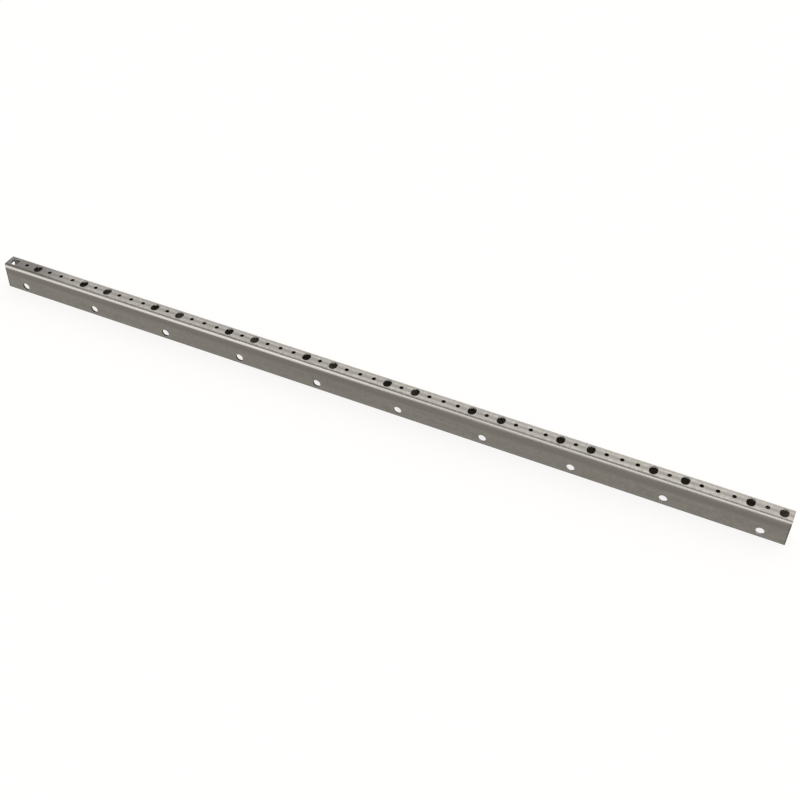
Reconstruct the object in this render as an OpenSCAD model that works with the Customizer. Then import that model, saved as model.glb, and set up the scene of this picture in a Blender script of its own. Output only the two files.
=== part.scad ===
// Perforated mounting rail: one strip of zinc-plated sheet steel, punched flat
// and folded into a U-channel that stands on the edges of its two flanges.
// X runs along the rail, Y across it and Z up. The origin is on the floor under
// the middle of the rail, and the punched flange is the front one, towards -Y.

/* [Channel section] */
// Width of the web, over the outside of both flanges
rail_w = 28; // [27:0.5:60]
// Height of the channel, from the flange edges to the top of the web
rail_h = 51; // [30:0.5:80]
// Thickness of the sheet
sheet_t = 3; // [1:0.25:3.5]
// Inside radius of the two bends
bend_r = 1.5; // [0.5:0.25:4]

/* [Hole grid] */
// Distance between neighbouring holes along the web
pitch = 25; // [16:0.5:50]
// Grid steps from one pair of oblong holes to the next
group_steps = 6; // [4:1:12]
// Grid steps between the two oblong holes of a pair
pair_steps = 2; // [1:1:3]
// Number of pairs of oblong holes
pair_count = 10; // [2:1:16]
// Distance from the first and last hole's centre to the rail's end
end_margin = 15; // [10:0.5:50]

/* [Holes] */
// Diameter of the screw holes in the web
screw_d = 7; // [3:0.1:9]
// Width of the oblong holes, along the rail
oblong_w = 13.5; // [8:0.5:17.5]
// Length of the oblong holes, across the rail
oblong_l = 18; // [14.5:0.5:19.5]
// Diameter of the side holes in the front flange
side_d = 13.5; // [5:0.5:20]
// Height of the side holes' centres above the flange edge
side_edge = 12; // [8:0.5:30]

/* [Hidden] */
$fn = 64;

// How far a punch reaches past each face of the sheet, also where a bend starts
overcut = 2;
punch_h = sheet_t + 2 * overcut;

// Flat stretches of the folded strip, and the outside of its bends
bend_out = bend_r + sheet_t;
web_flat = rail_w - 2 * bend_out;
flange_flat = rail_h - bend_out;

// Grid positions run from 0 to last_step, centred on the rail
last_step = group_steps * (pair_count - 1) + pair_steps;
grid_l = last_step * pitch;
rail_l = grid_l + 2 * end_margin;
function grid_x(step) = step * pitch - grid_l / 2;
function is_oblong(step) = step % group_steps == 0 || step % group_steps == pair_steps;

// Quarter ring of sheet between the web and a flange, on the +Y side
module bend_section() {
    intersection() {
        difference() {
            circle(r = bend_out);
            circle(r = bend_r);
        }
        square(bend_out);
    }
}

// One flange and its bend, on the +Y side
module flange_section() {
    translate([web_flat / 2, flange_flat]) bend_section();
    translate([rail_w / 2 - sheet_t, 0]) square([sheet_t, flange_flat]);
}

// Section of the folded strip, drawn with Y to the right and Z up
module channel_section() {
    translate([-web_flat / 2, rail_h - sheet_t]) square([web_flat, sheet_t]);
    flange_section();
    mirror([1, 0]) flange_section();
}

module folded_strip() {
    rotate([90, 0, 90])
        linear_extrude(height = rail_l, center = true)
            channel_section();
}

module screw_hole() {
    cylinder(h = punch_h, d = screw_d, center = true);
}

// Round-ended hole that lies across the rail
module oblong_hole() {
    end_y = (oblong_l - oblong_w) / 2;
    cube([oblong_w, 2 * end_y, punch_h], center = true);
    for (side = [-1, 1])
        translate([0, side * end_y, 0])
            cylinder(h = punch_h, d = oblong_w, center = true);
}

module side_hole() {
    rotate([90, 0, 0]) cylinder(h = punch_h, d = side_d, center = true);
}

// Row of holes along the middle of the web
module web_holes() {
    for (step = [0 : last_step])
        translate([grid_x(step), 0, rail_h - sheet_t / 2])
            if (is_oblong(step))
                oblong_hole();
            else
                screw_hole();
}

// One side hole below the middle of each pair of oblong holes
module side_holes() {
    for (pair = [0 : pair_count - 1])
        translate([grid_x(pair * group_steps + pair_steps / 2), (sheet_t - rail_w) / 2, side_edge])
            side_hole();
}

module rail() {
    color("silver")
        difference() {
            folded_strip();
            web_holes();
            side_holes();
        }
}

rail();
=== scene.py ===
import math

import bmesh
import bpy
from mathutils import Euler, Matrix, Vector


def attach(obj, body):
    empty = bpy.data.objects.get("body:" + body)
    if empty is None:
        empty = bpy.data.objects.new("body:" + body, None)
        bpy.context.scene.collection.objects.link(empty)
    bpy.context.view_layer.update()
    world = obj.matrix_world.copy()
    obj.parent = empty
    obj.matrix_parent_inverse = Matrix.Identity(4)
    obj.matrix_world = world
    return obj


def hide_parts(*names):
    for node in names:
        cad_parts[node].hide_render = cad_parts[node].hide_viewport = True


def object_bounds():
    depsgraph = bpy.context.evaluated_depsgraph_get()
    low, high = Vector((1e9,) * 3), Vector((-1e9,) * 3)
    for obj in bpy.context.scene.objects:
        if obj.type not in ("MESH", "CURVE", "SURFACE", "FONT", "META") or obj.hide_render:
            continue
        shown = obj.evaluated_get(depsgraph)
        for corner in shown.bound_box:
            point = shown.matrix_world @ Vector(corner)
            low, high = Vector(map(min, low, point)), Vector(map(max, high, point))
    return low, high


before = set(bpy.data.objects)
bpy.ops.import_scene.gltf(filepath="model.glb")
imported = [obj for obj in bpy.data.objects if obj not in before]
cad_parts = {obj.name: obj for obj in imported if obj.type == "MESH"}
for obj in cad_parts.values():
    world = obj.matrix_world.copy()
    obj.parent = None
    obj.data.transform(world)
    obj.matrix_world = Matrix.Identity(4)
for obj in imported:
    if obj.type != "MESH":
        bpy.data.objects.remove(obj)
cadLow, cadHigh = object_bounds()  # the CAD box
mm = 0.001
print("frame loaded, rail box", [round(s / mm, 1) for s in cadHigh - cadLow], "mm")


# Camera, above the front of the rail and near its right end
camera = {
    "place": (657.6, -1329.5, 1369.0),  # mm
    "heading": 23.733,  # degrees, turned left from +Y
    "tilt": 42.829,  # degrees, looking down
    "roll": 1.64,  # degrees
    "lens": 53.998,  # mm
    "sensor": 36.0,  # mm wide
    "reach": 50.0,  # metres, the farthest that it sees
}


def addCamera():
    data = bpy.data.cameras.new("camera")
    data.sensor_width = camera["sensor"]
    data.lens = camera["lens"]
    data.clip_end = camera["reach"]
    eye = bpy.data.objects.new("camera", data)
    bpy.context.scene.collection.objects.link(eye)
    aim = Euler((math.radians(90 - camera["tilt"]), 0, math.radians(camera["heading"])))
    turn = aim.to_matrix().to_4x4() @ Matrix.Rotation(math.radians(camera["roll"]), 4, "Z")
    eye.matrix_world = Matrix.Translation(Vector(camera["place"]) * mm) @ turn
    bpy.context.scene.camera = eye


addCamera()
print("camera placed")


# The rail: a strip of sheet, punched and folded. Its outside comes from the CAD box, in metres
rail = {
    "sheet": 3.0 * mm,
    "bendInside": 1.5 * mm,
    "bendSteps": 10,
    "pitch": 25.0 * mm,
    "stepCount": 57,
    "groupSteps": 6,  # grid steps from pair to pair
    "pairSteps": 2,  # grid steps within a pair of oblong holes
    "screwHole": 7.0 * mm,
    "oblongWidth": 13.5 * mm,
    "oblongLength": 18.0 * mm,
    "sideHole": 13.5 * mm,
    "sideHeight": 12.0 * mm,  # from the flange edge to the hole's centre
    "halfTurnSteps": 18,  # sides of half a hole
    "rimBand": 0.8 * mm,  # ring of even faces round each hole
    "seamPast": 1.0 * mm,  # how far the web's tiles reach past the oblong holes
    "rollover": 0.25 * mm,  # where the punch drew the sheet in
    "rolloverSteps": 3,
    "deburr": 0.15 * mm,
    "deburrSteps": 2,
    "sharpAngle": 60.0,  # degrees, from which an edge is rolled over or deburred
    "smoothAngle": 40.0,  # degrees, up to which neighbouring faces shade as one
    "weld": 0.005 * mm,  # points nearer than this are one
    "onFace": 0.1 * mm,  # what is nearer than this lies on an outer face
    "ownEdge": 1.0 * mm,  # what is nearer to an end or the floor is the strip's edge, not a hole's
    "midSheet": 0.3 * mm,  # from the sheet's middle to the middle of a sheared face, at most
    "squareTo": 0.99,  # least share of a face's normal along an axis that it is square to
    "edgeOn": 0.2,  # most of it along an axis that the face runs with
}


# One closed loop of edges round a hole, oblong along Y where straight isn't 0
def holeLoop(bm, centre, radius, straight):
    known = set(bm.verts)
    end = bm.verts.new(centre + Vector((radius, -straight, 0)))
    for side in (1, -1):
        end = bmesh.ops.extrude_vert_indiv(bm, verts=[end])["verts"][0]
        bmesh.ops.translate(bm, verts=[end], vec=(0, side * 2 * straight, 0))
        spun = bmesh.ops.spin(
            bm, geom=[end], cent=centre + Vector((0, side * straight, 0)), axis=(0, 0, 1),
            dvec=(0, 0, 0), angle=math.pi, steps=rail["halfTurnSteps"], use_duplicate=False)
        end = next(g for g in spun["geom_last"] if isinstance(g, bmesh.types.BMVert))
    ring = [v for v in bm.verts if v not in known]
    bmesh.ops.remove_doubles(bm, verts=ring, dist=rail["weld"])
    return [e for e in bm.edges if all(v not in known for v in e.verts)]


# One flat tile of the strip in the XY plane, with or without its hole
def addTile(bm, xEnds, yEnds, hole):
    corners = [bm.verts.new((x, y, 0)) for x, y in (
        (xEnds[0], yEnds[0]), (xEnds[1], yEnds[0]), (xEnds[1], yEnds[1]), (xEnds[0], yEnds[1]))]
    if hole is None:
        bmesh.ops.contextual_create(bm, geom=corners)
        return
    border = [bm.edges.new((corners[i - 1], corners[i])) for i in range(4)]
    centre, radius, straight = hole
    rim = holeLoop(bm, centre, radius, straight)
    band = holeLoop(bm, centre, radius + rail["rimBand"], straight)
    bmesh.ops.bridge_loops(bm, edges=rim + band)
    bmesh.ops.triangle_fill(bm, edges=border + band, use_beauty=True, normal=(0, 0, 1))


# A row of tiles, made flat, merged and then moved to its place on the rail
def addPanel(target, yEnds, holeAt, place):
    bm = bmesh.new()
    half = rail["pitch"] / 2
    last = rail["stepCount"] - 1
    for step in range(rail["stepCount"]):
        x = (step - last / 2) * rail["pitch"]
        xLow = cadLow.x if step == 0 else x - half
        xHigh = cadHigh.x if step == last else x + half
        addTile(bm, (xLow, xHigh), yEnds, holeAt(step, x))
    bmesh.ops.remove_doubles(bm, verts=bm.verts, dist=rail["weld"])
    bmesh.ops.transform(bm, matrix=place, verts=bm.verts)
    made = bpy.data.meshes.new("panel")
    bm.to_mesh(made)
    bm.free()
    target.from_mesh(made)
    bpy.data.meshes.remove(made)


# The hole of a grid step: its centre on the flat panel, its radius and half its straight part
def webHole(step, x):
    if step % rail["groupSteps"] in (0, rail["pairSteps"]):
        radius = rail["oblongWidth"] / 2
        return Vector((x, 0, 0)), radius, rail["oblongLength"] / 2 - radius
    return Vector((x, 0, 0)), rail["screwHole"] / 2, 0.0


def sideHole(step, x):
    if step % rail["groupSteps"] == rail["pairSteps"] // 2:
        return Vector((x, rail["sideHeight"], 0)), rail["sideHole"] / 2, 0.0
    return None


def noHole(step, x):
    return None


# The three panels and the two bends between them, as one open surface on the rail's outside
def foldStrip(bm):
    bendOut = rail["bendInside"] + rail["sheet"]
    webHalf = cadHigh.y - bendOut
    flangeFlat = cadHigh.z - bendOut
    seam = rail["oblongLength"] / 2 + rail["seamPast"]
    upright = Matrix.Rotation(math.radians(90), 4, "X")
    addPanel(bm, (-seam, seam), webHole, Matrix.Translation((0, 0, cadHigh.z)))
    for side in (-1, 1):  # where the bends begin
        bmesh.ops.bisect_plane(
            bm, geom=bm.verts[:] + bm.edges[:] + bm.faces[:], dist=rail["weld"],
            plane_co=(0, side * webHalf, 0), plane_no=(0, side, 0))
    for vert in bm.verts:  # what lies past that settles on the bend
        past = max(abs(vert.co.y) - webHalf, 0)
        vert.co.z = flangeFlat + math.sqrt(bendOut ** 2 - past ** 2)
    addPanel(bm, (0, flangeFlat), sideHole, Matrix.Translation((0, cadLow.y, 0)) @ upright)
    addPanel(bm, (0, flangeFlat), noHole, Matrix.Translation((0, cadHigh.y, 0)) @ upright)
    print("panels punched,", len(bm.faces), "faces")
    turn = math.acos((seam - webHalf) / bendOut)
    for side in (-1, 1):  # the rest of the two bends, turned from the long edges of the web
        edges = [e for e in bm.edges if e.is_boundary and all(
            abs(v.co.y - side * seam) < rail["weld"] and v.co.z > flangeFlat for v in e.verts)]
        bmesh.ops.spin(
            bm, geom=edges, cent=(0, side * webHalf, flangeFlat), axis=(1, 0, 0), dvec=(0, 0, 0),
            angle=-side * turn, steps=rail["bendSteps"], use_duplicate=False)
    bmesh.ops.remove_doubles(bm, verts=bm.verts, dist=rail["weld"])
    bmesh.ops.recalc_face_normals(bm, faces=bm.faces)
    bm.faces.ensure_lookup_table()
    upFace = max(bm.faces, key=lambda f: f.calc_center_median().z)
    if upFace.normal.z < 0:
        bmesh.ops.reverse_faces(bm, faces=bm.faces)


# Sharp edges of the closed solid, those that the punch rounded apart from the rest
def sharpEdges(bm):
    rolled, plain = [], []
    inEnd = cadHigh.x - rail["ownEdge"]
    for edge in bm.edges:
        if edge.calc_face_angle(0) < math.radians(rail["sharpAngle"]):
            continue
        inside = all(abs(v.co.x) < inEnd and v.co.z > rail["ownEdge"] for v in edge.verts)
        top = all(v.co.z > cadHigh.z - rail["onFace"] for v in edge.verts)
        front = all(v.co.y < cadLow.y + rail["onFace"] for v in edge.verts)
        (rolled if inside and (top or front) else plain).append(edge)
    return rolled, plain


def bevelEdges(bm, edges, width, segments):
    bmesh.ops.bevel(bm, geom=edges, offset=width, offset_type="OFFSET", affect="EDGES",
                    segments=segments, profile=0.5, material=-1, clamp_overlap=True)


# Walls of the holes, both ends and the flange edges, where the sheet was sheared through
def isSheared(face, centre):
    if abs(face.normal.x) > rail["squareTo"] and abs(centre.x) > cadHigh.x - rail["onFace"]:
        return True
    halfSheet = rail["sheet"] / 2
    offWeb = abs(centre.z - cadHigh.z + halfSheet)
    offFlange = abs(abs(centre.y) - cadHigh.y + halfSheet)
    inWeb = offWeb < rail["midSheet"] and abs(face.normal.z) < rail["edgeOn"]
    inFlange = offFlange < rail["midSheet"] and abs(face.normal.y) < rail["edgeOn"]
    return abs(centre.x) < cadHigh.x - rail["ownEdge"] and (inWeb or inFlange)


def makeRail():
    bm = bmesh.new()
    foldStrip(bm)
    bmesh.ops.solidify(bm, geom=bm.faces[:], thickness=rail["sheet"])
    bmesh.ops.recalc_face_normals(bm, faces=bm.faces)
    print("strip folded and thickened,", len(bm.faces), "faces")
    bevelEdges(bm, sharpEdges(bm)[0], rail["rollover"], rail["rolloverSteps"])
    bevelEdges(bm, sharpEdges(bm)[1], rail["deburr"], rail["deburrSteps"])
    for face in bm.faces:  # the plated sheet is material 0, its sheared walls are material 1
        face.material_index = 1 if isSheared(face, face.calc_center_median()) else 0
    mesh = bpy.data.meshes.new("rail_sheet")
    bm.to_mesh(mesh)
    bm.free()
    mesh.polygons.foreach_set("use_smooth", [True] * len(mesh.polygons))
    mesh.set_sharp_from_angle(angle=math.radians(rail["smoothAngle"]))
    made = bpy.data.objects.new("rail_sheet", mesh)
    bpy.context.scene.collection.objects.link(made)
    even = made.modifiers.new("even_normals", "WEIGHTED_NORMAL")  # keeps the flat faces flat
    even.keep_sharp = True
    print("rail edges finished,", len(mesh.polygons), "faces")
    return made


railSheet = makeRail()


# Linear colour of an sRGB hex value
def hexColour(code):
    parts = [int(code[i:i + 2], 16) / 255 for i in (1, 3, 5)]
    return [p / 12.92 if p <= 0.04045 else ((p + 0.055) / 1.055) ** 2.4 for p in parts] + [1.0]


# Adds one node: settings go to its sockets or properties, links are (node, output) for a socket
def addNode(tree, kind, links=None, settings=None):
    made = tree.nodes.new(kind)
    for name, value in (settings or {}).items():
        if isinstance(name, str) and hasattr(made, name):
            setattr(made, name, value)
        else:
            made.inputs[name].default_value = value
    for name, (source, output) in (links or {}).items():
        tree.links.new(source.outputs[output], made.inputs[name])
    return made


# Weight of a band: 1 near its centre, 0 from where it is faded out. The centre is a length in
# metres or a (node, output) link, and the widths are half ones in mm
def addBand(tree, value, centre, widths):
    links, settings = {0: value}, {"operation": "SUBTRACT"}
    (links if isinstance(centre, tuple) else settings)[1] = centre
    off = addNode(tree, "ShaderNodeMath", links, settings)
    off = addNode(tree, "ShaderNodeMath", {0: (off, "Value")}, {"operation": "ABSOLUTE"})
    return addNode(tree, "ShaderNodeMapRange", {"Value": (off, "Value")}, {
        "interpolation_type": "SMOOTHSTEP", "To Min": 1.0, "To Max": 0.0,
        "From Min": widths[0] * mm, "From Max": widths[1] * mm})


# Zinc-plated cold-rolled sheet steel: the thin plating keeps the long rolling lines of the sheet
# and clouds over a little, so it gives a warm grey, satin gleam with streaks along the rail.
# Painted shade darkens the plating higher up the flanges and on the web, in a band along the row
# of holes, in a thinner one in front of the back bend and, mottled, on the flanges below the bends.
# A painted highlight runs along the outside of both bends, over what the die rubbed there. A stain
# darkens the left end, and a dark uneven line runs along the flanges' cut ends
zinc = {
    "bright": "#8e8a82",
    "cloudy": "#706d66",
    "contrast": (0.9, 2.2),  # between those two, on the flanges and on the web
    "webFrom": (49.5, 50.3),  # mm above the floor, where the flanges' finish turns into the web's
    "streak": (160.0, 1.8),  # mm, along and across, coarser than real rolling lines so as to show
    "cloud": 5.5,  # mm, coarser than the real clouding so as to show
    "wave": 80.0,  # mm, the sheet's slow waviness
    "patternRelief": 0.02,  # mm, of streaks and clouds
    "waveRelief": 0.4,  # mm
    "patternMean": 1.0,  # of streaks and clouds together
    "patternSpread": 0.3,  # to either side of that
    "roughness": (0.34, 0.46),  # from end to end of that spread
    "paintedShadeHigh": -0.12,  # painted shade, as a shift of streaks and clouds, high up the flanges and on the web
    "paintedShadeRise": (5.0, 42.0),  # mm above the floor, where it starts and is full
    "webShadeBands": "#66635d",  # painted shade, along the row of holes and in front of the back bend
    "holeRowShadeLine": -0.8,  # mm, a little in front of the middle of the web
    "holeRowShadeWidth": (1.5, 5.0),  # mm from that line, full and faded out, as the other widths are
    "backShadeLine": 8.3,  # mm behind the middle of the web, a thinner band of that painted shade
    "backShadeWidth": (0.7, 2.0),
    "backShadeShare": 0.5,  # of that painted shade's strength along the holes
    "stain": "#54514c",  # round the left-most holes
    "stainPlace": -683.0,  # mm along the rail
    "stainWidth": (20.0, 120.0),
    "stainReach": (11.9, 12.9),  # mm from the middle, over the web and the inside
    "burnishAndHighlight": "#d8d4cc",  # painted highlight along the bends, over what the die rubbed there
    "highlightLine": (45.5, 48.5),  # mm above the floor, at the left and right ends
    "highlightWidth": (1.0, 3.5),
    "highlightShare": (1.0, 0.45),  # left and right of the middle
    "highlightFade": 200.0,  # mm to either side of the middle, from one share to the other
    "highlightSide": (1.8, 1.2),  # mm in from the rail's sides, so that the web itself stays clear
    "flangeShade": "#6c6861",  # painted shade along the flanges, below the bends
    "flangeShadeLine": 36.0,  # mm above the floor
    "flangeShadeWidth": (2.0, 9.0),
    "endLine": "#1c1b19",  # a dark line along the flanges' ends
    "endLineWidth": (1.4, 2.4),
}


def zincPlatedSheet():
    made = bpy.data.materials.new("zinc_plated_cold_rolled_steel")
    made.use_nodes = True
    tree = made.node_tree
    shader = tree.nodes["Principled BSDF"]
    shader.inputs["Metallic"].default_value = 1.0
    spot = addNode(tree, "ShaderNodeTexCoord")
    parts = addNode(tree, "ShaderNodeSeparateXYZ", {"Vector": (spot, "Object")})
    aside = addNode(tree, "ShaderNodeMath", {0: (parts, "Y")}, {"operation": "ABSOLUTE"})
    endward = addNode(tree, "ShaderNodeMath", {0: (parts, "X")}, {"operation": "ABSOLUTE"})
    web = addNode(tree, "ShaderNodeMapRange", {"Value": (parts, "Z")}, {
        "interpolation_type": "SMOOTHSTEP",
        "From Min": zinc["webFrom"][0] * mm, "From Max": zinc["webFrom"][1] * mm})

    # Patterns of the plating
    along, across = (1 / (s * mm) for s in zinc["streak"])
    stretch = addNode(tree, "ShaderNodeMapping", {"Vector": (spot, "Object")},
                      {"Scale": (along, across, across)})
    streaks = addNode(tree, "ShaderNodeTexNoise", {"Vector": (stretch, "Vector")},
                      {"Scale": 1.0, "Detail": 4.0})
    clouds = addNode(tree, "ShaderNodeTexNoise", {"Vector": (spot, "Object")},
                     {"Scale": 1 / (zinc["cloud"] * mm), "Detail": 5.0})
    waves = addNode(tree, "ShaderNodeTexNoise", {"Vector": (spot, "Object")},
                    {"Scale": 1 / (zinc["wave"] * mm), "Detail": 1.0})
    blend = addNode(tree, "ShaderNodeMath", {0: (streaks, "Fac"), 1: (clouds, "Fac")},
                    {"operation": "ADD"})

    # Tone of the even plating, halfway between its two colours where the patterns are at their mean,
    # darkened by painted shade higher up
    shadeRamp = addNode(tree, "ShaderNodeMapRange", {"Value": (parts, "Z")}, {
        "From Min": zinc["paintedShadeRise"][0] * mm, "From Max": zinc["paintedShadeRise"][1] * mm,
        "To Min": 0.0, "To Max": zinc["paintedShadeHigh"]})
    graded = addNode(tree, "ShaderNodeMath", {0: (blend, "Value"), 1: (shadeRamp, "Result")},
                     {"operation": "ADD"})
    uneven = addNode(tree, "ShaderNodeMath", {0: (graded, "Value")},
                     {"operation": "SUBTRACT", 1: zinc["patternMean"]})
    contrast = addNode(tree, "ShaderNodeMapRange", {"Value": (web, "Result")}, {
        "To Min": zinc["contrast"][0], "To Max": zinc["contrast"][1]})
    tone = addNode(tree, "ShaderNodeMath", {0: (uneven, "Value"), 1: (contrast, "Result")},
                   {"operation": "MULTIPLY_ADD", 2: 0.5})

    # Painted shade in two bands on the web alone, along the row of holes and in front of the back
    # bend, where the slightly dished web reflects less
    middle = addBand(tree, (parts, "Y"), zinc["holeRowShadeLine"] * mm, zinc["holeRowShadeWidth"])
    backShade = addBand(tree, (parts, "Y"), zinc["backShadeLine"] * mm, zinc["backShadeWidth"])
    shadeBands = addNode(tree, "ShaderNodeMath", {0: (backShade, "Result"), 2: (middle, "Result")},
                    {"operation": "MULTIPLY_ADD", 1: zinc["backShadeShare"]})
    webShadeBands = addNode(tree, "ShaderNodeMath", {0: (web, "Result"), 1: (shadeBands, "Value")},
                    {"operation": "MULTIPLY"})

    # The stain at the left end, on the web and inside the channel
    near = addBand(tree, (parts, "X"), zinc["stainPlace"] * mm, zinc["stainWidth"])
    within = addBand(tree, (parts, "Y"), 0.0, zinc["stainReach"])
    stain = addNode(tree, "ShaderNodeMath", {0: (within, "Result"), 1: (near, "Result")},
                    {"operation": "MULTIPLY"})

    # Painted highlight on the bends, where the die rubbed them, lower down and stronger towards the
    # left end
    line = addNode(tree, "ShaderNodeMapRange", {"Value": (parts, "X")}, {
        "From Min": cadLow.x, "From Max": cadHigh.x,
        "To Min": zinc["highlightLine"][0] * mm, "To Max": zinc["highlightLine"][1] * mm})
    band = addBand(tree, (parts, "Z"), (line, "Result"), zinc["highlightWidth"])
    share = addNode(tree, "ShaderNodeMapRange", {"Value": (parts, "X")}, {
        "interpolation_type": "SMOOTHSTEP",
        "From Min": -zinc["highlightFade"] * mm, "From Max": zinc["highlightFade"] * mm,
        "To Min": zinc["highlightShare"][0], "To Max": zinc["highlightShare"][1]})
    outer = addNode(tree, "ShaderNodeMapRange", {
        "Value": (aside, "Value"), "To Max": (share, "Result")}, {
        "From Min": cadHigh.y - zinc["highlightSide"][0] * mm,
        "From Max": cadHigh.y - zinc["highlightSide"][1] * mm})
    rubbedAndPaintedLight = addNode(tree, "ShaderNodeMath", {0: (band, "Result"), 1: (outer, "Result")},
                     {"operation": "MULTIPLY"})

    # Mottled painted shade on the flanges below the bends
    low = addBand(tree, (parts, "Z"), zinc["flangeShadeLine"] * mm, zinc["flangeShadeWidth"])
    flangeShading = addNode(tree, "ShaderNodeMath", {0: (low, "Result"), 1: (clouds, "Fac")},
                    {"operation": "MULTIPLY"})

    # The uneven dark line at both ends, on the flanges alone
    end = addBand(tree, (endward, "Value"), cadHigh.x, zinc["endLineWidth"])
    flange = addNode(tree, "ShaderNodeMath", {1: (web, "Result")}, {"operation": "SUBTRACT", 0: 1.0})
    unevenFlange = addNode(tree, "ShaderNodeMath", {0: (flange, "Value"), 1: (clouds, "Fac")},
                    {"operation": "MULTIPLY"})
    endLine = addNode(tree, "ShaderNodeMath", {0: (end, "Result"), 1: (unevenFlange, "Value")},
                   {"operation": "MULTIPLY"})

    # Colour, from the even plating to its painted shade, the stain, the dark end line and the painted
    # highlight
    colour = addNode(tree, "ShaderNodeMix", {"Factor": (tone, "Value")}, {
        "data_type": "RGBA", "A": hexColour(zinc["cloudy"]), "B": hexColour(zinc["bright"])})
    for mask, tint in ((webShadeBands, "webShadeBands"), (stain, "stain"), (flangeShading, "flangeShade"),
                       (endLine, "endLine"), (rubbedAndPaintedLight, "burnishAndHighlight")):
        colour = addNode(tree, "ShaderNodeMix", {"Factor": (mask, "Value"), "A": (colour, "Result")}, {
            "data_type": "RGBA", "B": hexColour(zinc[tint])})
    tree.links.new(colour.outputs["Result"], shader.inputs["Base Color"])

    # Gloss and relief
    rough = addNode(tree, "ShaderNodeMapRange", {"Value": (blend, "Value")}, {
        "From Min": zinc["patternMean"] - zinc["patternSpread"],
        "From Max": zinc["patternMean"] + zinc["patternSpread"],
        "To Min": zinc["roughness"][0], "To Max": zinc["roughness"][1]})
    tree.links.new(rough.outputs["Result"], shader.inputs["Roughness"])
    slow = addNode(tree, "ShaderNodeBump", {"Height": (waves, "Fac")},
                   {"Strength": 1.0, "Distance": zinc["waveRelief"] * mm})
    fine = addNode(tree, "ShaderNodeBump", {"Height": (blend, "Value"), "Normal": (slow, "Normal")},
                   {"Strength": 1.0, "Distance": zinc["patternRelief"] * mm})
    tree.links.new(fine.outputs["Normal"], shader.inputs["Normal"])
    return made


# Bare steel, sheared by the punch and the guillotine: a narrow smooth lip under the outer face,
# then a torn wall, both painted much darker than the steel as painted shade in the holes. Painted
# light makes the walls lighter at the far ends of the oblong holes and in the side holes towards the
# right, and the rail's ends are that light colour too
sheared = {
    # The first two are painted shade, the last is painted light
    "lip": "#33312d",
    "tornWallShade": "#1c1b19",
    "rubbedAndPaintedLight": "#d2cec6",
    "lipDepth": (0.3, 0.5),  # mm below the outer face, full and faded out
    "lipRagged": 0.4,  # mm, how far the tears eat into the lip
    "tear": 0.7,  # mm, coarser than real tears so as to show
    "tearRelief": 0.1,  # mm
    "roughness": 0.7,
    "farEnd": (4.0, 7.0),  # mm behind the middle of the web, where the painted light starts and is full
    "rightward": (-150.0, 300.0),  # mm along the rail, the same for the side holes
    "flangeEdge": 2.0,  # mm above the floor, up to which a wall is a flange's edge, left out of that painted light
}


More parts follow.
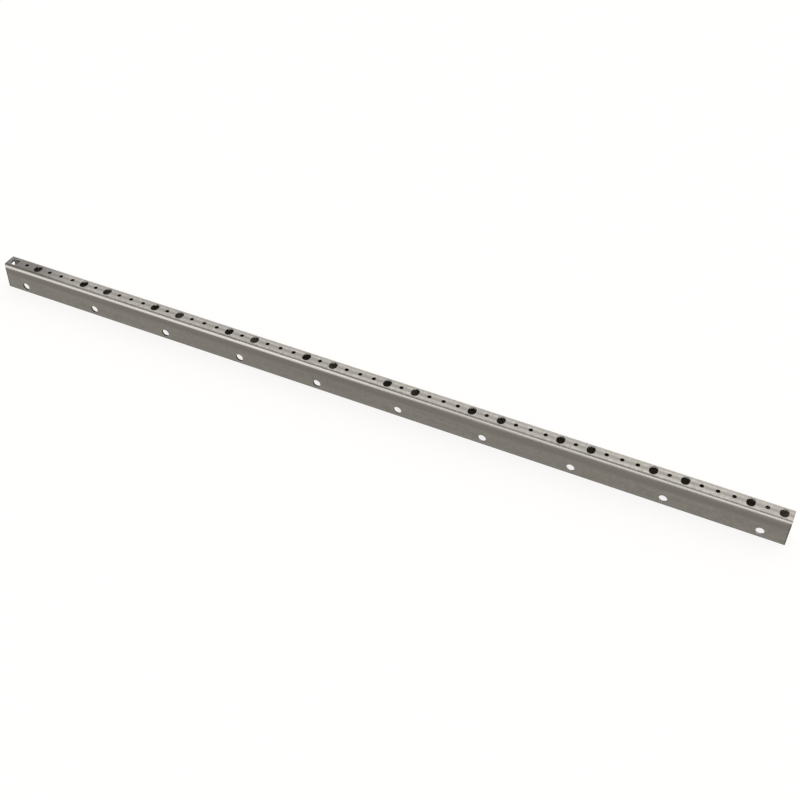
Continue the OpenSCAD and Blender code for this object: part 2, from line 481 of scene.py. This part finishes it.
def shearedSteel():
    made = bpy.data.materials.new("sheared_steel_painted_light_and_shade")
    made.use_nodes = True
    tree = made.node_tree
    shader = tree.nodes["Principled BSDF"]
    shader.inputs["Metallic"].default_value = 1.0
    shader.inputs["Roughness"].default_value = sheared["roughness"]
    spot = addNode(tree, "ShaderNodeTexCoord")
    parts = addNode(tree, "ShaderNodeSeparateXYZ", {"Vector": (spot, "Object")})
    aside = addNode(tree, "ShaderNodeMath", {0: (parts, "Y")}, {"operation": "ABSOLUTE"})
    endward = addNode(tree, "ShaderNodeMath", {0: (parts, "X")}, {"operation": "ABSOLUTE"})

    # The lip and the torn wall below it, both in painted shade
    under = addNode(tree, "ShaderNodeMath", {1: (parts, "Z")},
                    {"operation": "SUBTRACT", 0: cadHigh.z})
    behind = addNode(tree, "ShaderNodeMath", {1: (aside, "Value")},
                     {"operation": "SUBTRACT", 0: cadHigh.y})
    depth = addNode(tree, "ShaderNodeMath", {0: (under, "Value"), 1: (behind, "Value")},
                    {"operation": "MINIMUM"})
    tears = addNode(tree, "ShaderNodeTexNoise", {"Vector": (spot, "Object")},
                    {"Scale": 1 / (sheared["tear"] * mm), "Detail": 3.0})
    ragged = addNode(tree, "ShaderNodeMath", {0: (tears, "Fac"), 2: (depth, "Value")},
                     {"operation": "MULTIPLY_ADD", 1: sheared["lipRagged"] * mm})
    deep = addNode(tree, "ShaderNodeMapRange", {"Value": (ragged, "Value")}, {
        "From Min": sheared["lipDepth"][0] * mm, "From Max": sheared["lipDepth"][1] * mm})
    wall = addNode(tree, "ShaderNodeMix", {"Factor": (deep, "Result")}, {
        "data_type": "RGBA", "A": hexColour(sheared["lip"]), "B": hexColour(sheared["tornWallShade"])})

    # Painted light: in the holes, but not on the flange edges, and the same light colour on the rail's
    # ends
    far = addNode(tree, "ShaderNodeMapRange", {"Value": (parts, "Y")}, {
        "From Min": sheared["farEnd"][0] * mm, "From Max": sheared["farEnd"][1] * mm})
    right = addNode(tree, "ShaderNodeMapRange", {"Value": (parts, "X")}, {
        "From Min": sheared["rightward"][0] * mm, "From Max": sheared["rightward"][1] * mm})
    inFlange = addNode(tree, "ShaderNodeMath", {0: (parts, "Y")},
                       {"operation": "LESS_THAN", 1: cadLow.y + rail["sheet"] + rail["onFace"]})
    side = addNode(tree, "ShaderNodeMath", {0: (right, "Result"), 1: (inFlange, "Value")},
                   {"operation": "MULTIPLY"})
    rubbedAndPaintedLight = addNode(tree, "ShaderNodeMath", {0: (far, "Result"), 1: (side, "Value")},
                     {"operation": "MAXIMUM"})
    inHole = addNode(tree, "ShaderNodeMath", {0: (parts, "Z")},
                     {"operation": "GREATER_THAN", 1: sheared["flangeEdge"] * mm})
    rubbedAndPaintedLight = addNode(tree, "ShaderNodeMath", {0: (rubbedAndPaintedLight, "Value"), 1: (inHole, "Value")},
                     {"operation": "MULTIPLY"})
    end = addNode(tree, "ShaderNodeMath", {0: (endward, "Value")},
                  {"operation": "GREATER_THAN", 1: cadHigh.x - rail["onFace"]})
    rubbedAndPaintedLight = addNode(tree, "ShaderNodeMath", {0: (rubbedAndPaintedLight, "Value"), 1: (end, "Value")},
                     {"operation": "MAXIMUM"})
    wall = addNode(tree, "ShaderNodeMix", {"Factor": (rubbedAndPaintedLight, "Value"), "A": (wall, "Result")}, {
        "data_type": "RGBA", "B": hexColour(sheared["rubbedAndPaintedLight"])})
    tree.links.new(wall.outputs["Result"], shader.inputs["Base Color"])
    rag = addNode(tree, "ShaderNodeBump", {"Height": (tears, "Fac")},
                  {"Strength": 1.0, "Distance": sheared["tearRelief"] * mm})
    tree.links.new(rag.outputs["Normal"], shader.inputs["Normal"])
    return made


railSheet.data.materials.append(zincPlatedSheet())
railSheet.data.materials.append(shearedSteel())
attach(railSheet, "root")
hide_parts("rail")
print("rail dressed")


# Studio: a pale floor that shows mostly plain white to the eye, under a soft sky.
# Places in the sky are shares of a direction, from -1 to 1 along each axis
studio = {
    "floorColour": "#cac8c3",
    "floorWhite": "#fffefd",
    "floorGlow": 0.87,  # share of the floor that is that white to the eye
    "underRail": 0.3,  # painted shadow: what is left of that share under the rail, as seen in the metal
    "pastEnds": 40.0,  # mm, how far that painted shadow reaches past the rail's ends
    "floorSize": 30.0,  # metres
    "skyColour": "#fbfbff",
    "back": 3.45,  # strengths of the sky
    "front": 2.4,
    "top": (0.75, 1.2),  # left of the rail and straight above it
    "left": 0.68,  # share of the back light that is left of the rail
    "brow": (0.2, 0.5),  # upper edge of the front light, left of the rail and straight in front
    "leftward": (-0.6, 0.05),  # along X, from the left values of top and brow to the straight ones
    "backFade": (-0.7, 0.1),  # along X, from the left share of the back light to all of it
    "zenith": (0.82, 1.0),  # along Z, from the back light to the top light
    "browBlur": 0.1,  # along Z, to either side of the brow
    "sideBlur": 0.3,  # along Y, to either side of the line between front and back
}


def addFloor():
    bm = bmesh.new()
    bmesh.ops.create_grid(bm, x_segments=1, y_segments=1, size=studio["floorSize"] / 2)
    mesh = bpy.data.meshes.new("floor")
    bm.to_mesh(mesh)
    bm.free()
    floor = bpy.data.objects.new("floor", mesh)
    bpy.context.scene.collection.objects.link(floor)
    made = bpy.data.materials.new("matt_paper_floor")
    made.use_nodes = True
    tree = made.node_tree
    paper = tree.nodes["Principled BSDF"]
    paper.inputs["Base Color"].default_value = hexColour(studio["floorColour"])
    paper.inputs["Roughness"].default_value = 1.0
    paper.inputs["Specular IOR Level"].default_value = 0.0
    white = addNode(tree, "ShaderNodeEmission", None,
                    {"Color": hexColour(studio["floorWhite"]), "Strength": 1.0})
    ray = addNode(tree, "ShaderNodeLightPath")

    # Metal shows that white too, but less of it under the rail and just past its ends, a painted
    # shadow of the rail
    spot = addNode(tree, "ShaderNodeTexCoord")
    parts = addNode(tree, "ShaderNodeSeparateXYZ", {"Vector": (spot, "Object")})
    endward = addNode(tree, "ShaderNodeMath", {0: (parts, "X")}, {"operation": "ABSOLUTE"})
    aside = addNode(tree, "ShaderNodeMath", {0: (parts, "Y")}, {"operation": "ABSOLUTE"})
    beyond = addNode(tree, "ShaderNodeMath", {0: (endward, "Value")},
                     {"operation": "GREATER_THAN", 1: cadHigh.x + studio["pastEnds"] * mm})
    beside = addNode(tree, "ShaderNodeMath", {0: (aside, "Value")},
                     {"operation": "GREATER_THAN", 1: cadHigh.y})
    clear = addNode(tree, "ShaderNodeMath", {0: (beyond, "Value"), 1: (beside, "Value")},
                    {"operation": "MAXIMUM"})
    shade = addNode(tree, "ShaderNodeMapRange", {"Value": (clear, "Value")},
                    {"To Min": studio["underRail"]})
    mirrored = addNode(tree, "ShaderNodeMath", {0: (ray, "Is Glossy Ray"), 1: (shade, "Result")},
                       {"operation": "MULTIPLY"})
    seen = addNode(tree, "ShaderNodeMath", {0: (ray, "Is Camera Ray"), 1: (mirrored, "Value")},
                   {"operation": "MAXIMUM"})
    seen = addNode(tree, "ShaderNodeMath", {0: (seen, "Value"), 1: (ray, "Is Transmission Ray")},
                   {"operation": "MAXIMUM"})
    share = addNode(tree, "ShaderNodeMath", {0: (seen, "Value")},
                    {"operation": "MULTIPLY", 1: studio["floorGlow"]})
    mixed = addNode(tree, "ShaderNodeMixShader", {
        0: (share, "Value"), 1: (paper, "BSDF"), 2: (white, "Emission")})
    tree.links.new(mixed.outputs["Shader"], tree.nodes["Material Output"].inputs["Surface"])
    mesh.materials.append(made)


def addSky():
    world = bpy.data.worlds.new("studio_sky")
    bpy.context.scene.world = world
    world.use_nodes = True
    tree = world.node_tree
    light = tree.nodes["Background"]
    light.inputs["Color"].default_value = hexColour(studio["skyColour"])
    spot = addNode(tree, "ShaderNodeTexCoord")
    parts = addNode(tree, "ShaderNodeSeparateXYZ", {"Vector": (spot, "Generated")})

    # The back light, from behind the rail up to the top light
    top = addNode(tree, "ShaderNodeMapRange", {"Value": (parts, "X")}, {
        "From Min": studio["leftward"][0], "From Max": studio["leftward"][1],
        "To Min": studio["top"][0], "To Max": studio["top"][1]})
    left = addNode(tree, "ShaderNodeMapRange", {"Value": (parts, "X")}, {
        "interpolation_type": "SMOOTHSTEP",
        "From Min": studio["backFade"][0], "From Max": studio["backFade"][1],
        "To Min": studio["left"] * studio["back"], "To Max": studio["back"]})
    back = addNode(tree, "ShaderNodeMapRange", {
        "Value": (parts, "Z"), "To Min": (left, "Result"), "To Max": (top, "Result")}, {
        "interpolation_type": "SMOOTHSTEP",
        "From Min": studio["zenith"][0], "From Max": studio["zenith"][1]})

    # The front light, up to its brow
    brow = addNode(tree, "ShaderNodeMapRange", {"Value": (parts, "X")}, {
        "From Min": studio["leftward"][0], "From Max": studio["leftward"][1],
        "To Min": studio["brow"][0], "To Max": studio["brow"][1]})
    above = addNode(tree, "ShaderNodeMath", {0: (parts, "Z"), 1: (brow, "Result")},
                    {"operation": "SUBTRACT"})
    front = addNode(tree, "ShaderNodeMapRange", {
        "Value": (above, "Value"), "To Max": (top, "Result")}, {
        "interpolation_type": "SMOOTHSTEP", "To Min": studio["front"],
        "From Min": -studio["browBlur"], "From Max": studio["browBlur"]})

    side = addNode(tree, "ShaderNodeMapRange", {"Value": (parts, "Y")}, {
        "interpolation_type": "SMOOTHSTEP",
        "From Min": -studio["sideBlur"], "From Max": studio["sideBlur"]})
    mixed = addNode(tree, "ShaderNodeMix", {
        "Factor": (side, "Result"), "A": (front, "Result"), "B": (back, "Result")})
    tree.links.new(mixed.outputs["Result"], light.inputs["Strength"])


addFloor()
addSky()
bpy.context.scene.view_settings.view_transform = "Standard"
print("studio lit")
